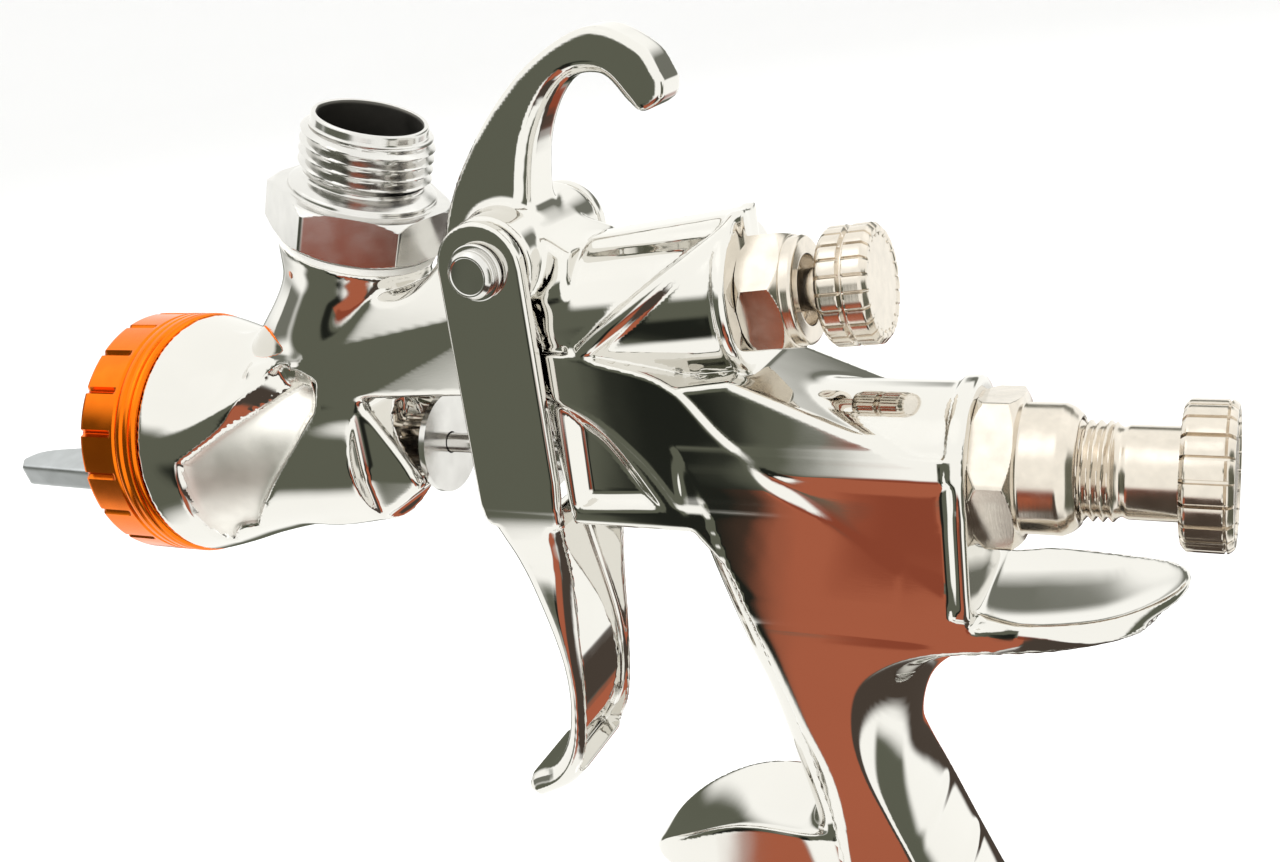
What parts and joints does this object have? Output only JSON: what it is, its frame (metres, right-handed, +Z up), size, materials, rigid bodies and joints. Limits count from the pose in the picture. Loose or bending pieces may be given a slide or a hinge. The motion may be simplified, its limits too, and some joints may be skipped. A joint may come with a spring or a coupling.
{
  "type": "gravity-feed hvlp spray gun",
  "caption": "Chrome gravity-feed HVLP spray gun with hinged trigger, hanging hook, cup thread, fluid and fan control knobs and a turning air cap.",
  "frame": {"origin": "centre of the air inlet's end face, at the foot of the grip", "axes": "+Z up, nozzle towards -X along the spray axis, +Y across the gun, which is symmetric about the plane Y = 0 apart from the turned air cap and the trigger pin's ends"},
  "size_m": [0.1579, 0.033, 0.1611],
  "materials": {
    "chrome": "mirror polished chrome plate",
    "stainless": "turned stainless steel",
    "satin_nickel": "satin nickel plate",
    "cap_nickel": "satin grey nickel plate",
    "orange_anodised": "bright orange anodised",
    "brass": "turned brass",
    "seal": "white PTFE",
    "rubber_ring": "black nitrile rubber",
    "spring_steel": "drawn spring steel"
  },
  "bodies": {
    "gun": {"gun_body": "chrome", "cup_adapter": "stainless", "cup_gasket": "seal", "fluid_nozzle": "stainless", "air_baffle": "brass", "nozzle_gasket": "seal", "needle_packing": "seal", "packing_nut": "satin_nickel", "splash_disc": "stainless", "trigger_pin": "stainless", "pin_clip": "stainless", "air_valve_bush": "satin_nickel", "air_valve_seat": "seal", "air_valve_spring": "spring_steel", "fluid_housing": "satin_nickel", "housing_o_ring": "rubber_ring", "needle_spring": "spring_steel", "fan_valve_body": "satin_nickel", "fan_o_ring": "rubber_ring", "air_inlet": "satin_nickel", "inlet_gasket": "seal"},
    "trigger": {"trigger": "chrome"},
    "needle": {"needle": "stainless", "needle_collar": "stainless"},
    "air_valve": {"air_valve_spindle": "stainless"},
    "fluid_screw_carrier": {"spring_seat": "stainless"},
    "fluid_control": {"fluid_knob": "satin_nickel"},
    "fan_plunger": {"fan_plunger": "satin_nickel"},
    "fan_control": {"fan_knob": "satin_nickel", "fan_knob_screw": "stainless"},
    "cap_clip": {"cap_clip": "stainless"},
    "cap_ring": {"cap_ring": "orange_anodised"},
    "air_cap": {"air_cap": "cap_nickel"}
  },
  "joints": [
    {"name": "trigger_pull", "type": "hinge", "parent": "gun", "child": "trigger", "pos_m": [-0.0625, 0, 0.1354], "axis": [0, -1, 0], "range_deg": [0, 13], "stiffness_Nm_per_rad": 0.6, "springref_deg": -20.05},
    {"name": "air_valve_slide", "type": "slide", "parent": "gun", "child": "air_valve", "axis": [1, 0, 0], "range_m": [0, 0.0058], "deforming": ["air_valve_spring"]},
    {"name": "needle_slide", "type": "slide", "parent": "gun", "child": "needle", "axis": [1, 0, 0], "range_m": [0, 0.0058], "deforming": ["needle_spring"]},
    {"name": "fluid_screw_slide", "type": "slide", "parent": "gun", "child": "fluid_screw_carrier", "axis": [1, 0, 0], "range_m": [-0.006, 0.001]},
    {"name": "fluid_knob_turn", "type": "hinge", "parent": "fluid_screw_carrier", "child": "fluid_control", "pos_m": [0.0095, 0, 0.11], "axis": [1, 0, 0], "range_deg": [-2161, 361]},
    {"name": "fan_screw_slide", "type": "slide", "parent": "gun", "child": "fan_plunger", "axis": [0.9962, 0, 0.0872], "range_m": [-0.0015, 0.003]},
    {"name": "fan_knob_turn", "type": "hinge", "parent": "fan_plunger", "child": "fan_control", "pos_m": [-0.0345, 0, 0.1292], "axis": [0.9962, 0, 0.0872], "range_deg": [-541, 1081]},
    {"name": "cap_ring_slide", "type": "slide", "parent": "gun", "child": "cap_clip", "axis": [-1, 0, 0], "range_m": [0, 0.003]},
    {"name": "cap_ring_turn", "type": "hinge", "parent": "cap_clip", "child": "cap_ring", "pos_m": [-0.1205, 0, 0.11], "axis": [-1, 0, 0], "range_deg": [-1, 721]},
    {"name": "air_cap_turn", "type": "hinge", "parent": "cap_clip", "child": "air_cap", "pos_m": [-0.1235, 0, 0.11], "axis": [1, 0, 0], "range_deg": [-90, 90]}
  ],
  "couplings": [
    {"joint": "air_valve_slide", "follows": "trigger_pull", "m_per_rad": 0.0254},
    {"joint": "needle_slide", "follows": "trigger_pull", "m_per_rad": 0.0254},
    {"joint": "fluid_knob_turn", "follows": "fluid_screw_slide", "rad_per_m": 6283.2},
    {"joint": "fan_knob_turn", "follows": "fan_screw_slide", "rad_per_m": 6283.2},
    {"joint": "cap_ring_turn", "follows": "cap_ring_slide", "rad_per_m": 4188.8}
  ]
}
